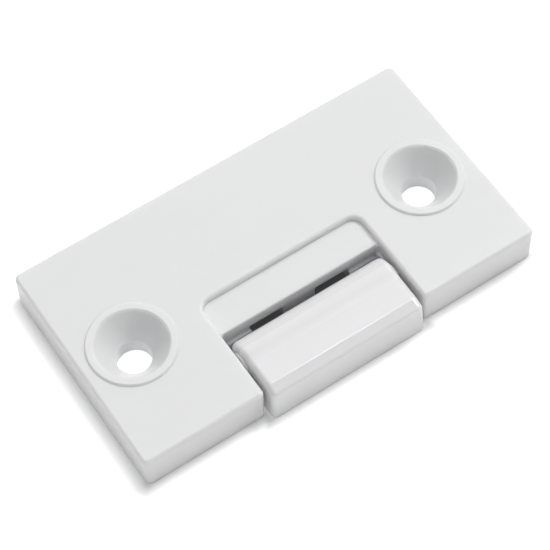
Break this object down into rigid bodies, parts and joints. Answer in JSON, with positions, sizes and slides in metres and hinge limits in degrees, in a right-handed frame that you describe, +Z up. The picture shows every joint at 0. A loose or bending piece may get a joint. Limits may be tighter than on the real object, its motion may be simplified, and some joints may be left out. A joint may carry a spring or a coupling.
{
  "type": "refrigerator shelf hinge",
  "caption": "White moulded shelf hinge: a flat plate with countersunk screw holes in raised rings and a flush, friction-held swinging knuckle in its front pocket.",
  "frame": {"origin": "midway between the plate's two screw holes, on its underside", "axes": "+X along the plate and parallel to the hinge axis, +Y towards the plate's back edge, +Z up out of the screw holes"},
  "size_m": [0.0602, 0.034, 0.0062],
  "materials": {
    "plate_white": "satin moulded",
    "knuckle_white": "gloss moulded",
    "shaft_steel": "ground",
    "spring_steel": "oiled",
    "bush_acetal": "moulded",
    "keeper_steel": "zinc plated",
    "screw_steel": "zinc plated",
    "insert_brass": "turned"
  },
  "bodies": {
    "plate": {"base_plate": "plate_white", "hinge_shaft": "shaft_steel", "shaft_keeper_left": "keeper_steel", "keeper_screw_left_front": "screw_steel", "keeper_screw_left_rear": "screw_steel", "shaft_keeper_right": "keeper_steel", "keeper_screw_right_front": "screw_steel", "keeper_screw_right_rear": "screw_steel"},
    "leaf": {"knuckle": "knuckle_white", "bush_left": "bush_acetal", "insert_left": "insert_brass", "bush_right": "bush_acetal", "insert_right": "insert_brass", "friction_clip_01": "spring_steel", "friction_clip_02": "spring_steel", "friction_clip_03": "spring_steel", "friction_clip_04": "spring_steel", "friction_clip_05": "spring_steel", "friction_clip_06": "spring_steel", "friction_clip_07": "spring_steel", "friction_clip_08": "spring_steel", "friction_clip_09": "spring_steel", "friction_clip_10": "spring_steel"}
  },
  "joints": [
    {"name": "knuckle_pivot", "type": "hinge", "parent": "plate", "child": "leaf", "pos_m": [0, -0.00895, 0.003], "axis": [-1, 0, 0], "range_deg": [0, 110]}
  ]
}
